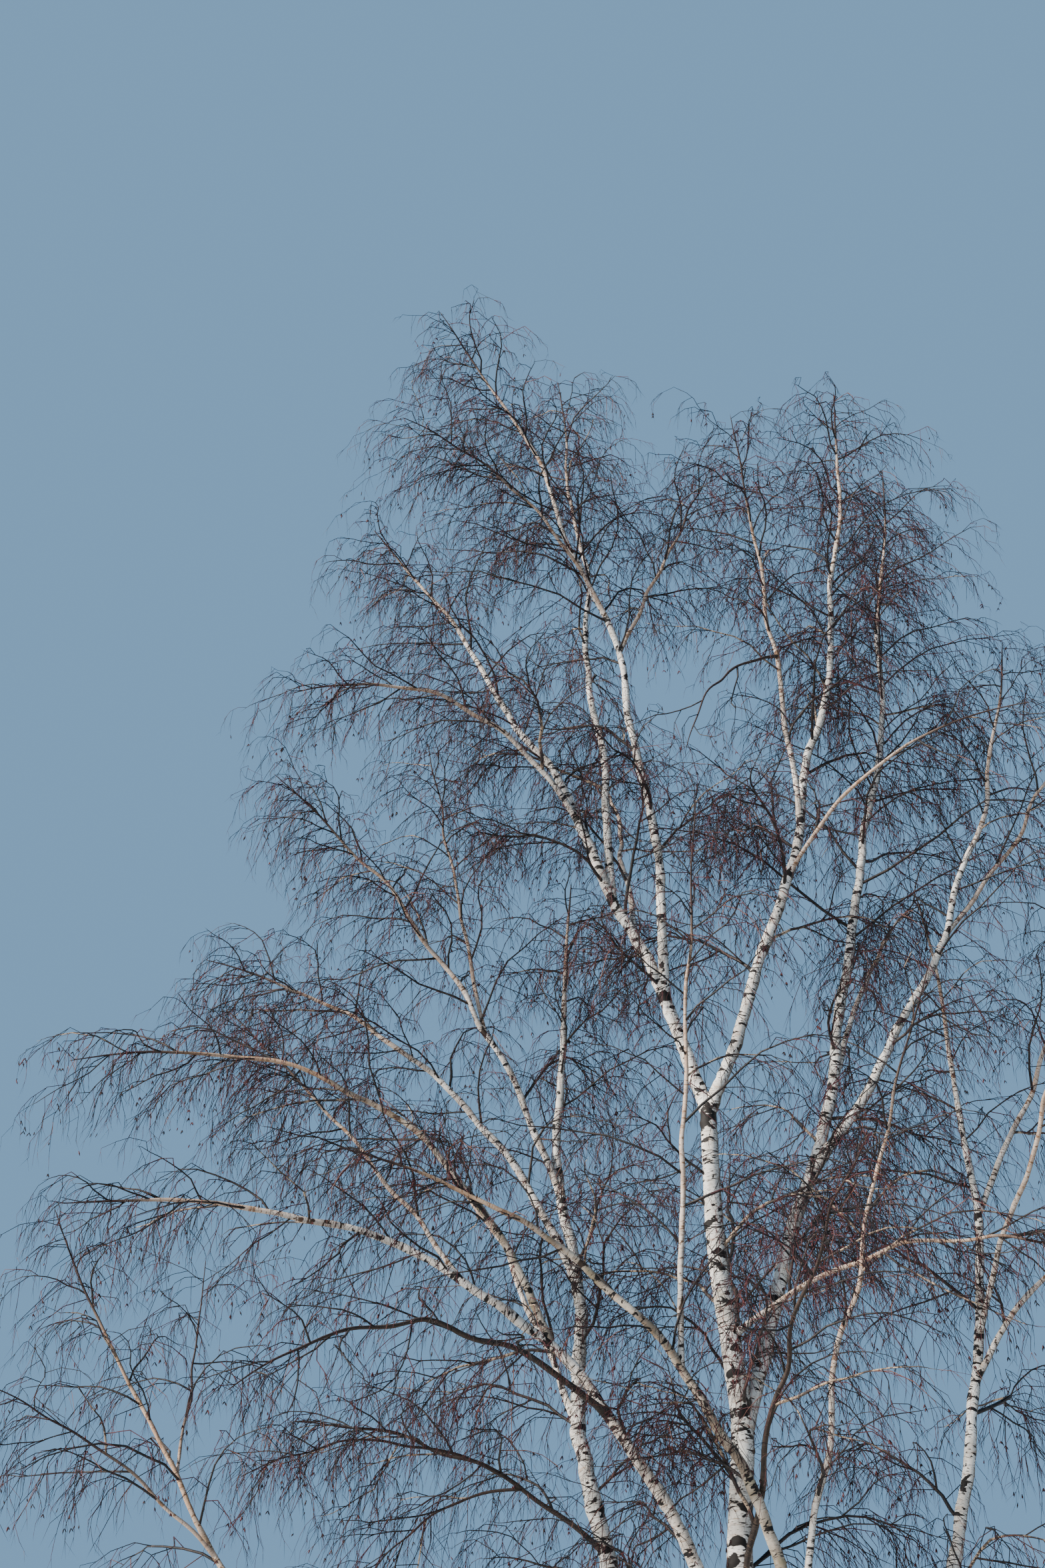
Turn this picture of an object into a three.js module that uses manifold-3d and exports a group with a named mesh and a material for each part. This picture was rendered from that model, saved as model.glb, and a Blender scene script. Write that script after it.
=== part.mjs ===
// A silver birch in winter, bare of leaves: a clump of five stems that rise from one root.
// Millimetres, +Z up. The origin is the middle of the flat cut under the trunk, at ground level.
import * as THREE from 'three';
import { mergeVertices } from 'three/addons/utils/BufferGeometryUtils.js';
import Module from 'manifold-3d';

const wasm = await Module();
wasm.setup();

// Trunk, from the ground to its fork
const TRUNK_LINE = [
  [0, 0, 0], [-20, 0, 2600], [30, 0, 5600], [120, 0, 6900], [50, 0, 7800], [-60, 0, 8900], [-80, 0, 10500],
];
const TRUNK_TAPER = [[0, 225], [1200, 200], [4200, 145], [5600, 127], [10500, 86]]; // height, radius
const TRUNK_SIDES = 15;
const TRUNK_RINGS = 18;
const RING_CROWDING = 1.5;
const FLARE = 110;
const FLARE_HEIGHT = 320;
const ROOT_RIDGES = 5;
const RIDGE_SHARE = 0.35;

// Limbs. Each grows on its parent, at a share of the way along it, and ends at tip. The middle of its arc
// stands off the straight line by bow: outwards and down where positive, up and in where negative.
// radius is that of its foot, and bare the share of it that is a smooth bough below its twigs.
const LIMBS = {
  front_stem: { on: 'trunk', at: 0.075, tip: [500, -800, 5100], bow: 200, radius: 84, bare: 1 },
  left_stem: { on: 'trunk', at: 0.1, tip: [-1500, 1400, 13900], bow: 950, radius: 134, bare: 0.76 },
  right_stem: { on: 'trunk', at: 0.085, tip: [2600, 1000, 13600], bow: 1450, radius: 100, bare: 0.76 },
  outer_left_stem: { on: 'trunk', at: 0.055, tip: [-6900, -800, 9000], bow: 750, radius: 58, bare: 0.6 },
  left_leader: { on: 'trunk', at: 0.985, tip: [-4100, 1200, 19100], bow: -380, radius: 78, bare: 0.48 },
  middle_leader: { on: 'trunk', at: 0.985, tip: [1950, -300, 20200], bow: 500, radius: 72, bare: 0.42 },
  right_leader: { on: 'trunk', at: 0.66, tip: [2900, 1700, 20500], bow: 550, radius: 84, bare: 0.4 },
  sweeping_bough: {
    on: 'trunk', at: 0.42, tip: [-6700, -1500, 8800], bow: -1800, radius: 75, bare: 0.5,
  },
  reaching_bough: { on: 'trunk', at: 0.75, tip: [3600, -2400, 7900], bow: -600, radius: 38, bare: 0.25 },
  back_low: { on: 'trunk', at: 0.6, tip: [600, 4900, 11600], bow: -500, radius: 38, bare: 0.25 },
  front_low: { on: 'trunk', at: 0.48, tip: [900, -4600, 8400], bow: -600, radius: 36, bare: 0.28 },
  crossing_bough: {
    on: 'front_stem', at: 0.96, tip: [-3900, -2300, 9100], bow: -1050, radius: 62, bare: 0.34,
  },
  slender_bough: {
    on: 'front_stem', at: 0.96, tip: [2150, -1900, 11400], bow: -150, radius: 38, bare: 0.35,
  },
  weeping_bough: {
    on: 'left_stem', at: 0.39, tip: [-4500, 300, 7100], bow: -350, radius: 30, bare: 0.25,
  },
  left_stem_low: {
    on: 'left_stem', at: 0.62, tip: [-5900, 1300, 12800], bow: -750, radius: 52, bare: 0.3,
  },
  left_stem_high: {
    on: 'left_stem', at: 0.7, tip: [-5100, 300, 14800], bow: -450, radius: 44, bare: 0.3,
  },
  back_left: { on: 'left_stem', at: 0.48, tip: [-3900, 4200, 12200], bow: -400, radius: 40, bare: 0.25 },
  sweeping_upper: {
    on: 'sweeping_bough', at: 0.42, tip: [-6700, -1800, 10200], bow: -1300, radius: 45, bare: 0.34,
  },
  sweeping_front: {
    on: 'sweeping_bough', at: 0.32, tip: [-4700, -3200, 6500], bow: -750, radius: 36, bare: 0.3,
  },
  left_leader_low: {
    on: 'left_leader', at: 0.42, tip: [-4800, -1000, 15100], bow: -850, radius: 38, bare: 0.22,
  },
  upright_leader: {
    on: 'left_leader', at: 0.15, tip: [-3200, -500, 21400], bow: -800, radius: 60, bare: 0.4,
  },
  straight_leader: {
    on: 'left_leader', at: 0.3, tip: [-1600, 1600, 22000], bow: -100, radius: 54, bare: 0.35,
  },
  back_high: {
    on: 'left_leader', at: 0.24, tip: [-1000, 4400, 17600], bow: -200, radius: 38, bare: 0.25,
  },
  middle_left: {
    on: 'middle_leader', at: 0.37, tip: [400, -1800, 18600], bow: -150, radius: 37, bare: 0.3,
  },
  middle_right: {
    on: 'middle_leader', at: 0.29, tip: [3600, -1800, 14500], bow: -550, radius: 35, bare: 0.28,
  },
  right_outer: { on: 'right_leader', at: 0.22, tip: [3800, 0, 16500], bow: 500, radius: 60, bare: 0.35 },
  back_right: {
    on: 'right_leader', at: 0.3, tip: [3400, 4200, 15200], bow: -300, radius: 40, bare: 0.25,
  },
  right_stem_outer: {
    on: 'right_stem', at: 0.7, tip: [5500, 1200, 14500], bow: 0, radius: 36, bare: 0.25,
  },
  right_stem_low: {
    on: 'right_stem', at: 0.56, tip: [6200, 0, 9800], bow: -600, radius: 36, bare: 0.26,
  },
  front_right: {
    on: 'right_stem', at: 0.6, tip: [4400, -3600, 12000], bow: -400, radius: 34, bare: 0.28,
  },
};

// Side limbs that leave their parent above its bare length, so each grows inside its parent's twigs
const FORKS = {
  upright_fan: { on: 'upright_leader', at: 0.5, tip: [-3600, -1500, 18800], bow: -500, radius: 27 },
  upright_right: { on: 'upright_leader', at: 0.45, tip: [400, 300, 19500], bow: 0, radius: 27 },
  right_far: { on: 'right_outer', at: 0.45, tip: [5000, 300, 16700], bow: 250, radius: 30 },
  left_stem_upright: { on: 'left_stem_high', at: 0.34, tip: [-3300, 1200, 15800], bow: 0, radius: 27 },
  sweeping_middle: { on: 'sweeping_bough', at: 0.54, tip: [-5400, -200, 11500], bow: -100, radius: 30 },
  outer_left_low: { on: 'outer_left_stem', at: 0.65, tip: [-7200, -1600, 7000], bow: -150, radius: 21 },
  outer_left_up: { on: 'outer_left_stem', at: 0.73, tip: [-5500, 500, 8900], bow: 150, radius: 17 },
  inner_bough: { on: 'crossing_bough', at: 0.36, tip: [200, -2100, 13100], bow: -200, radius: 36 },
  weeping_low: { on: 'weeping_bough', at: 0.3, tip: [-3700, 900, 5600], bow: -250, radius: 18 },
  weeping_front: { on: 'weeping_bough', at: 0.36, tip: [-4800, -1200, 6200], bow: -350, radius: 18 },
  middle_left_low: { on: 'middle_left', at: 0.4, tip: [-300, -1700, 13900], bow: -300, radius: 19 },
};
const FORKED_TIP_RADIUS = 64; // of a stem that ends in a fork
const FORK_BARE = 0.1;
const TIP_RADIUS = 4;
const TAPER_POWER = 0.75;
const SWAY_SHARE = 0.006;
const BOUGH_SIDES = 6;
const BOUGH_STEP = 900;
const STEM_SIDES = 5;
const STEM_STEPS = 6;

// Shoots. Each order leaves its parent by splay and turns over until it leans by endLean from upright.
const GOLDEN_ANGLE = (137.5 * Math.PI) / 180;
const BRANCHES = {
  spacing: 900, first: 0.04, last: 0.96, steps: 4, splay: 0.8, splaySpread: 0.4,
  lengthShare: 0.3, leastLength: 750, endLean: 2, endSpread: 0.5, bend: 1.5, wander: 0.25,
  thickness: 0.0085, thickest: 17,
};
const TWIGS = {
  spacing: 1000, first: 0.25, last: 0.98, steps: 2, splay: 0.85, splaySpread: 0.5,
  lengthShare: 0.4, leastLength: 450, endLean: 2.85, endSpread: 0.4, bend: 0.75, wander: 0.35,
  thickness: 0.014, thickest: 9,
};
const SHOOT_SIDES = 3;
const SHORTER_TRIES = [1, 0.7, 0.45];

// Clearances
const GAP = 0.3;
const SPACE_GAP = 40;
const LIMB_GAP = 10;
const CHECKS_PER_STEP = 4;

const bark = new THREE.MeshStandardMaterial({ color: 0xd8d3c8, roughness: 0.8, metalness: 0 });
const boughBark = new THREE.MeshStandardMaterial({ color: 0xc4b7a4, roughness: 0.8, metalness: 0 });
const twigBark = new THREE.MeshStandardMaterial({ color: 0x54393a, roughness: 0.7, metalness: 0 });

// Seeded chance: each shoot draws from its own seed, so one more shoot changes no other
function mixed(number) {
  let n = (number ^ 61) ^ (number >>> 16);
  n = (n + (n << 3)) >>> 0;
  n ^= n >>> 4;
  n = Math.imul(n, 0x27d4eb2d);
  return (n ^ (n >>> 15)) >>> 0;
}

function childSeed(seed, index) {
  return mixed((seed ^ mixed(index + 1)) >>> 0);
}

function draw(seed, which) {
  return childSeed(seed, 1000 + which) / 2 ** 32;
}

// The arc of a limb, with a slight sway to and fro across it
class LimbLine extends THREE.Curve {
  constructor(start, tip, bow, seed) {
    super();
    const chord = tip.clone().sub(start);
    const along = chord.clone().normalize();
    const outward = new THREE.Vector3(chord.x, chord.y, 0).normalize();
    this.under = outward.multiplyScalar(along.z).setZ(-Math.hypot(along.x, along.y));
    this.side = new THREE.Vector3().crossVectors(along, this.under);
    const middle = start.clone().lerp(tip, 0.5).addScaledVector(this.under, 2 * bow);
    this.arc = new THREE.QuadraticBezierCurve3(start, middle, tip);
    this.sway = SWAY_SHARE * chord.length();
    this.seed = seed;
  }

  getPoint(t, target = new THREE.Vector3()) {
    this.arc.getPoint(t, target);
    [this.side, this.under].forEach((across, k) => {
      const waves = 2.5 + 2 * draw(this.seed, 2 * k);
      const swing = Math.sin(2 * Math.PI * (waves * t + draw(this.seed, 2 * k + 1)));
      target.addScaledVector(across, this.sway * Math.sin(Math.PI * t) * swing);
    });
    return target;
  }
}

function trunkRadius(height, angle) {
  const above = Math.max(1, TRUNK_TAPER.findIndex(([top]) => top >= height));
  const [[low, wide], [high, slim]] = TRUNK_TAPER.slice(above - 1, above + 1);
  const taper = wide + ((slim - wide) * (height - low)) / (high - low);
  const ridge = 1 + RIDGE_SHARE * Math.cos(ROOT_RIDGES * angle);
  return taper + FLARE * Math.exp(-height / FLARE_HEIGHT) * ridge;
}

function limbRadius(limb, share) {
  const tip = limb.bare === 1 ? FORKED_TIP_RADIUS : TIP_RADIUS;
  return tip + (limb.radius - tip) * (1 - share) ** TAPER_POWER;
}

// Limbs are listed after their parents, so each finds its parent's line already drawn
const trunkPoints = TRUNK_LINE.map((point) => new THREE.Vector3(...point));
const lines = { trunk: new THREE.CatmullRomCurve3(trunkPoints, false, 'catmullrom', 0.5) };
const limbs = Object.entries(LIMBS).map(([name, sizes]) => ({ name, ...sizes }));
const forks = Object.entries(FORKS).map(([name, sizes]) => ({ name, ...sizes }));
[...limbs, ...forks].forEach((limb, k) => {
  const start = lines[limb.on].getPointAt(limb.at);
  lines[limb.name] = new LimbLine(start, new THREE.Vector3(...limb.tip), limb.bow, k + 1);
});

function stretch(line, from, to, steps) {
  const shares = Array.from({ length: steps + 1 }, (_, k) => from + ((to - from) * k) / steps);
  return {
    shares,
    points: shares.map((share) => line.getPointAt(share)),
    tangents: shares.map((share) => line.getTangentAt(share)),
  };
}

function solidOf(geometry) {
  geometry.deleteAttribute('normal');
  geometry.deleteAttribute('uv');
  const merged = mergeVertices(geometry);
  return new wasm.Manifold(new wasm.Mesh({
    numProp: 3,
    vertProperties: merged.getAttribute('position').array,
    triVerts: new Uint32Array(merged.index.array),
  }));
}

// A closed tube: a cylinder whose rows are laid across the line. A last radius of 0 makes a point.
function tube({ points, tangents }, radiusAt, sides, swelling = 0) {
  const last = points.length - 1;
  const pointed = radiusAt(last, 0) === 0;
  const geometry = new THREE.CylinderGeometry(pointed ? 0 : 1, 1, last, sides, last);
  const across = Math.abs(tangents[0].y) < 0.9 ? new THREE.Vector3(0, 1, 0) : new THREE.Vector3(1, 0, 0);
  const frames = tangents.map((tangent) => {
    across.addScaledVector(tangent, -across.dot(tangent)).normalize();
    return [across.clone(), new THREE.Vector3().crossVectors(tangent, across)];
  });
  const position = geometry.getAttribute('position');
  for (let i = 0; i < position.count; i += 1) {
    const row = Math.round(position.getY(i) + last / 2);
    const turn = Math.atan2(position.getX(i), position.getZ(i)) / (2 * Math.PI);
    const angle = ((Math.round(turn * sides + sides) % sides) / sides) * 2 * Math.PI;
    const onAxis = Math.hypot(position.getX(i), position.getZ(i)) < 1e-6;
    const radius = onAxis ? 0 : radiusAt(row, angle) + swelling;
    const outside = row === 0 ? -swelling : row === last ? swelling : 0;
    const point = points[row].clone()
      .addScaledVector(tangents[row], outside)
      .addScaledVector(frames[row][0], radius * Math.cos(angle))
      .addScaledVector(frames[row][1], radius * Math.sin(angle));
    position.setXYZ(i, point.x, point.y, point.z);
  }
  return solidOf(geometry);
}

function largest(solid) {
  return solid.decompose().reduce((best, piece) => (piece.volume() > best.volume() ? piece : best));
}

function meshOf(name, solid, origin, material) {
  const { vertProperties, triVerts } = solid.getMesh();
  const geometry = new THREE.BufferGeometry();
  geometry.setAttribute('position', new THREE.BufferAttribute(vertProperties, 3));
  geometry.setIndex(new THREE.BufferAttribute(triVerts, 1));
  geometry.translate(-origin.x, -origin.y, -origin.z);
  geometry.computeVertexNormals();
  const mesh = new THREE.Mesh(geometry, material);
  mesh.name = name;
  mesh.position.copy(origin);
  return mesh;
}

// The trunk's rings stand closer together near its flared foot
function trunkTube(swelling) {
  const line = lines.trunk;
  const shares = Array.from({ length: TRUNK_RINGS + 1 }, (_, k) => (k / TRUNK_RINGS) ** RING_CROWDING);
  const points = shares.map((share) => line.getPointAt(share));
  const tangents = shares.map((share) => line.getTangentAt(share));
  tangents[0].set(0, 0, 1);
  const radiusAt = (row, angle) => trunkRadius(points[row].z, angle);
  return tube({ points, tangents }, radiusAt, TRUNK_SIDES, swelling);
}

function boughTube(limb, swelling) {
  const line = lines[limb.name];
  const steps = Math.max(3, Math.round((line.getLength() * limb.bare) / BOUGH_STEP));
  const part = stretch(line, 0, limb.bare, steps);
  return tube(part, (row) => limbRadius(limb, part.shares[row]), BOUGH_SIDES, swelling);
}

// The stem of a limb's twigs goes on from the end of its bough, GAP clear of it
function stemTube(limb) {
  const line = lines[limb.name];
  const part = stretch(line, limb.bare + GAP / line.getLength(), 1, STEM_STEPS);
  part.tangents[0] = line.getTangentAt(limb.bare);
  return tube(part, (row) => (row === STEM_STEPS ? 0 : limbRadius(limb, part.shares[row])), STEM_SIDES);
}

function forkTube(fork) {
  const part = stretch(lines[fork.name], 0, 1, STEM_STEPS);
  return tube(part, (row) => (row === STEM_STEPS ? 0 : limbRadius(fork, part.shares[row])), SHOOT_SIDES + 1);
}

// Where each mass may grow: nearer to its own stems than to any other mass's, and clear of every bough
const clearances = [];
function addClearance(line, owner, from, to, radiusAt) {
  const steps = Math.ceil(((to - from) * line.getLength()) / 250);
  const { shares, points } = stretch(line, from, to, steps);
  for (let k = 0; k < steps; k += 1) {
    const segment = new THREE.Line3(points[k], points[k + 1]);
    clearances.push({ owner, segment, radius: radiusAt(shares[k], points[k]) });
  }
}
addClearance(lines.trunk, null, 0, 1, (share, point) => trunkRadius(point.z, 0));
limbs.forEach((limb) => {
  const radiusAt = (share) => limbRadius(limb, share);
  addClearance(lines[limb.name], null, 0, limb.bare, radiusAt);
  if (limb.bare < 1) addClearance(lines[limb.name], limb.name, limb.bare, 1, radiusAt);
});
forks.forEach((fork) => {
  addClearance(lines[fork.name], fork.on, 0, 1, (share) => limbRadius(fork, share));
});

const nearest = new THREE.Vector3();
function fits(points, radius, owner) {
  for (let k = 0; k < points.length - 1; k += 1) {
    for (let part = 1; part <= CHECKS_PER_STEP; part += 1) {
      const point = points[k].clone().lerp(points[k + 1], part / CHECKS_PER_STEP);
      let own = Infinity;
      let other = Infinity;
      for (const { owner: holder, segment, radius: thickness } of clearances) {
        const distance = segment.closestPointToPoint(point, true, nearest).distanceTo(point);
        if (holder === null && distance < thickness + radius + LIMB_GAP) return false;
        if (holder === owner) own = Math.min(own, distance);
        else if (holder !== null) other = Math.min(other, distance);
      }
      if (other < own + SPACE_GAP) return false;
    }
  }
  return true;
}

// The line of one shoot: it sets out along direction and turns over until it leans by endLean
function shootLine(start, direction, length, endLean, rule, seed) {
  const startLean = Math.acos(THREE.MathUtils.clamp(direction.z, -1, 1));
  const startTurn = Math.atan2(direction.y, direction.x);
  const phase = 2 * Math.PI * draw(seed, 7);
  const points = [start.clone()];
  for (let k = 0; k < rule.steps; k += 1) {
    const share = (k + 0.5) / rule.steps;
    const lean = startLean + (endLean - startLean) * share ** rule.bend;
    const turn = startTurn + rule.wander * Math.sin(2 * Math.PI * 1.2 * share + phase);
    const step = new THREE.Vector3().setFromSphericalCoords(length / rule.steps, lean, turn);
    points.push(points[k].clone().add(new THREE.Vector3(step.z, step.x, step.y)));
  }
  return points;
}

// Shoots along one parent, set round it by the golden angle. One that doesn't fit is tried shorter, and
// skipped if that doesn't fit either.
function sideShoots(parent, rule, owner) {
  const count = Math.max(1, Math.round(((rule.last - rule.first) * parent.length) / rule.spacing));
  const shoots = [];
  for (let k = 0; k < count; k += 1) {
    const seed = childSeed(parent.seed, k);
    const share = rule.first + ((rule.last - rule.first) * (k + 0.2 + 0.6 * draw(seed, 0))) / count;
    const { point, tangent, radius } = parent.at(share);
    const side = new THREE.Vector3(tangent.y, -tangent.x, 0).normalize();
    const other = new THREE.Vector3().crossVectors(side, tangent);
    const round = k * GOLDEN_ANGLE + 2 * Math.PI * draw(parent.seed, 5) + 0.5 * (draw(seed, 1) - 0.5);
    const splay = rule.splay + rule.splaySpread * (draw(seed, 2) - 0.5);
    const direction = tangent.clone().multiplyScalar(Math.cos(splay))
      .addScaledVector(side, Math.cos(round) * Math.sin(splay))
      .addScaledVector(other, Math.sin(round) * Math.sin(splay));
    const most = rule.lengthShare * (1 - share) * parent.length + rule.leastLength;
    const whole = most * (0.7 + 0.5 * draw(seed, 3));
    const endLean = rule.endLean + rule.endSpread * (draw(seed, 4) - 0.5);
    const foot = Math.min(rule.thickness * whole, rule.thickest, 0.8 * radius);
    const tries = SHORTER_TRIES.map((shorter) => whole * shorter);
    const line = tries.map((length) => shootLine(point, direction, length, endLean, rule, seed))
      .find((points) => fits(points, foot, owner));
    if (line) shoots.push(new Shoot(line, foot, seed));
  }
  return shoots;
}

class Shoot {
  constructor(points, radius, seed) {
    this.points = points;
    this.radius = radius;
    this.seed = seed;
    this.steps = points.length - 1;
    this.length = this.steps * points[0].distanceTo(points[1]);
  }

  at(share) {
    const k = Math.min(Math.floor(share * this.steps), this.steps - 1);
    const [low, high] = this.points.slice(k, k + 2);
    return {
      point: low.clone().lerp(high, share * this.steps - k),
      tangent: high.clone().sub(low).normalize(),
      radius: this.radius * (1 - share) ** TAPER_POWER,
    };
  }

  solid() {
    const tangents = this.points.map((_, k) => {
      const ahead = this.points[Math.min(k + 1, this.steps)];
      return ahead.clone().sub(this.points[Math.max(k - 1, 0)]).normalize();
    });
    const radiusAt = (row) => this.radius * (1 - row / this.steps) ** TAPER_POWER;
    return tube({ points: this.points, tangents }, radiusAt, SHOOT_SIDES);
  }
}

// A stem as a parent of shoots, from share from of its limb to its tip
function stemParent(limb, from, seed) {
  const line = lines[limb.name];
  const shareOf = (share) => from + (1 - from) * share;
  return {
    seed,
    length: (1 - from) * line.getLength(),
    at: (share) => ({
      point: line.getPointAt(shareOf(share)),
      tangent: line.getTangentAt(shareOf(share)),
      radius: limbRadius(limb, shareOf(share)),
    }),
  };
}

// One mass of twigs: the stem, its forks, their branches, and the twigs that hang from these
function twigMass(limb) {
  const own = forks.filter((fork) => fork.on === limb.name);
  const stems = [[limb, limb.bare], ...own.map((fork) => [fork, FORK_BARE])];
  const solids = [stemTube(limb), ...own.map(forkTube)];
  stems.forEach(([stem, from], k) => {
    const parent = stemParent(stem, from, childSeed(limbs.indexOf(limb), k));
    const branches = sideShoots(parent, BRANCHES, limb.name);
    const twigs = branches.flatMap((branch) => sideShoots(branch, TWIGS, limb.name));
    solids.push(...branches.map((branch) => branch.solid()), ...twigs.map((twig) => twig.solid()));
  });
  return largest(wasm.Manifold.union(solids));
}

const tree = new THREE.Group();
tree.add(meshOf('trunk', trunkTube(0), new THREE.Vector3(), bark));

// Each bough is cut where it meets the trunk and the boughs listed before it, with GAP left between them
const cutters = [trunkTube(GAP)];
limbs.forEach((limb) => {
  const cut = largest(cutters.reduce((solid, cutter) => solid.subtract(cutter), boughTube(limb, 0)));
  const foot = lines[limb.name].getPointAt(0);
  tree.add(meshOf(limb.name, cut, foot, limb.on === 'trunk' ? bark : boughBark));
  cutters.push(boughTube(limb, GAP));
});

limbs.filter((limb) => limb.bare < 1).forEach((limb) => {
  const foot = lines[limb.name].getPointAt(limb.bare);
  tree.add(meshOf(`${limb.name}_twigs`, twigMass(limb), foot, twigBark));
});

export default tree;
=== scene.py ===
"""A silver birch in winter, bare of leaves: its bark, branches, twigs and catkins, in metres.

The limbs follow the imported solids' lines, but for three that are slimmer, one of which leans further left.
Branches and twigs grow on from them by the rule that grew the solids' twigs, with more shoots of each order,
and two finer orders follow: fine twigs and sprigs.
"""

import math

import bpy
import numpy as np
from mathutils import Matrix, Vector


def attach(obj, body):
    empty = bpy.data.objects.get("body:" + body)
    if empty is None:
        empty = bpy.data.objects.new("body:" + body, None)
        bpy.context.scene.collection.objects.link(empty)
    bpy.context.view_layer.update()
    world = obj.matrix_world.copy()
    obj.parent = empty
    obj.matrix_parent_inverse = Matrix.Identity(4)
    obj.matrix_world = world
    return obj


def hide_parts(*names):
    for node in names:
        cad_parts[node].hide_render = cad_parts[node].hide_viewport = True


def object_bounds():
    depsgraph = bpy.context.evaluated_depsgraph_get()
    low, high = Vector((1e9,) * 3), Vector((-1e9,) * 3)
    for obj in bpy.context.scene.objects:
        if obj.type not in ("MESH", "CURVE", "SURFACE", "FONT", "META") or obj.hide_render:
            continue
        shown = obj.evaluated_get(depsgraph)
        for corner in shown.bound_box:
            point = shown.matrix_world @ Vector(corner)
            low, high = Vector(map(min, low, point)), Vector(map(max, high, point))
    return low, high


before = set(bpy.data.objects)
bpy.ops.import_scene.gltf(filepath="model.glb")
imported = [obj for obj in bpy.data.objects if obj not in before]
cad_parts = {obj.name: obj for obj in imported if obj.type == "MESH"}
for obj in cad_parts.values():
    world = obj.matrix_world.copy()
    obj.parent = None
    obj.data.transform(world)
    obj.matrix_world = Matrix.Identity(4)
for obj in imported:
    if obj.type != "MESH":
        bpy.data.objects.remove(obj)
cad_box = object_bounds()

# Trunk, from the ground to its fork
TRUNK_LINE = [
    (0, 0, 0), (-0.02, 0, 2.6), (0.03, 0, 5.6), (0.12, 0, 6.9), (0.05, 0, 7.8), (-0.06, 0, 8.9),
    (-0.08, 0, 10.5),
]
TRUNK_CURVE_STEPS = 40  # from each of the trunk's points to the next
TRUNK_HEIGHTS = [0, 1.2, 4.2, 5.6, 10.5]
TRUNK_RADII = [0.225, 0.2, 0.145, 0.127, 0.086]
FLARE = 0.11
FLARE_HEIGHT = 0.32
ROOT_RIDGES = 5
RIDGE_SHARE = 0.35
TRUNK_CROWN = 0.12  # the length over which the trunk closes in the fork at its top

# Limbs: the parent, the share of the way along it, the tip, the bow of the arc, the radius of the foot,
# and the share of the limb that is a bare bough
LIMBS = {
    "front_stem": ("trunk", 0.075, (0.5, -0.8, 5.1), 0.2, 0.084, 1.0),
    "left_stem": ("trunk", 0.1, (-1.5, 1.4, 13.9), 0.95, 0.134, 0.76),
    "right_stem": ("trunk", 0.085, (2.6, 1.0, 13.6), 1.45, 0.1, 0.76),
    "outer_left_stem": ("trunk", 0.055, (-6.9, -0.8, 9.0), 0.75, 0.058, 0.6),
    "left_leader": ("trunk", 0.985, (-4.1, 1.2, 19.1), -0.38, 0.078, 0.48),
    "middle_leader": ("trunk", 0.985, (1.95, -0.3, 20.2), 0.5, 0.072, 0.42),
    "right_leader": ("trunk", 0.66, (2.9, 1.7, 20.5), 0.55, 0.084, 0.4),
    "sweeping_bough": ("trunk", 0.42, (-6.7, -1.5, 8.8), -1.8, 0.075, 0.5),
    "reaching_bough": ("trunk", 0.75, (3.6, -2.4, 7.9), -0.6, 0.032, 0.25),
    "back_low": ("trunk", 0.6, (0.6, 4.9, 11.6), -0.5, 0.038, 0.25),
    "front_low": ("trunk", 0.48, (0.9, -4.6, 8.4), -0.6, 0.036, 0.28),
    "crossing_bough": ("front_stem", 0.96, (-3.9, -2.3, 9.1), -1.05, 0.062, 0.34),
    "slender_bough": ("front_stem", 0.96, (2.15, -1.9, 11.4), -0.15, 0.038, 0.35),
    "weeping_bough": ("left_stem", 0.39, (-4.5, 0.3, 7.1), -0.35, 0.03, 0.25),
    "left_stem_low": ("left_stem", 0.62, (-5.9, 1.3, 12.8), -0.75, 0.052, 0.3),
    "left_stem_high": ("left_stem", 0.7, (-5.1, 0.3, 14.8), -0.45, 0.044, 0.3),
    "back_left": ("left_stem", 0.48, (-3.9, 4.2, 12.2), -0.4, 0.04, 0.25),
    "sweeping_upper": ("sweeping_bough", 0.42, (-6.7, -1.8, 10.2), -1.3, 0.045, 0.34),
    "sweeping_front": ("sweeping_bough", 0.32, (-4.7, -3.2, 6.5), -0.75, 0.036, 0.3),
    "left_leader_low": ("left_leader", 0.42, (-4.8, -1.0, 15.1), -0.85, 0.038, 0.22),
    "upright_leader": ("left_leader", 0.15, (-3.2, -0.5, 21.4), -0.8, 0.06, 0.4),
    "straight_leader": ("left_leader", 0.3, (-1.6, 1.6, 22.0), -0.1, 0.054, 0.35),
    "back_high": ("left_leader", 0.24, (-1.0, 4.4, 17.6), -0.2, 0.038, 0.25),
    "middle_left": ("middle_leader", 0.37, (0.4, -1.8, 18.6), -0.15, 0.037, 0.3),
    "middle_right": ("middle_leader", 0.29, (3.6, -1.8, 14.5), -0.55, 0.027, 0.28),
    "right_outer": ("right_leader", 0.22, (3.8, 0.0, 16.5), 0.5, 0.06, 0.35),
    "back_right": ("right_leader", 0.3, (3.4, 4.2, 15.2), -0.3, 0.04, 0.25),
    "right_stem_outer": ("right_stem", 0.7, (5.5, 1.2, 14.5), 0.0, 0.036, 0.25),
    "right_stem_low": ("right_stem", 0.56, (6.2, 0.0, 9.8), -0.6, 0.036, 0.26),
    "front_right": ("right_stem", 0.6, (4.4, -3.6, 12.0), -0.4, 0.034, 0.28),
}
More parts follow.
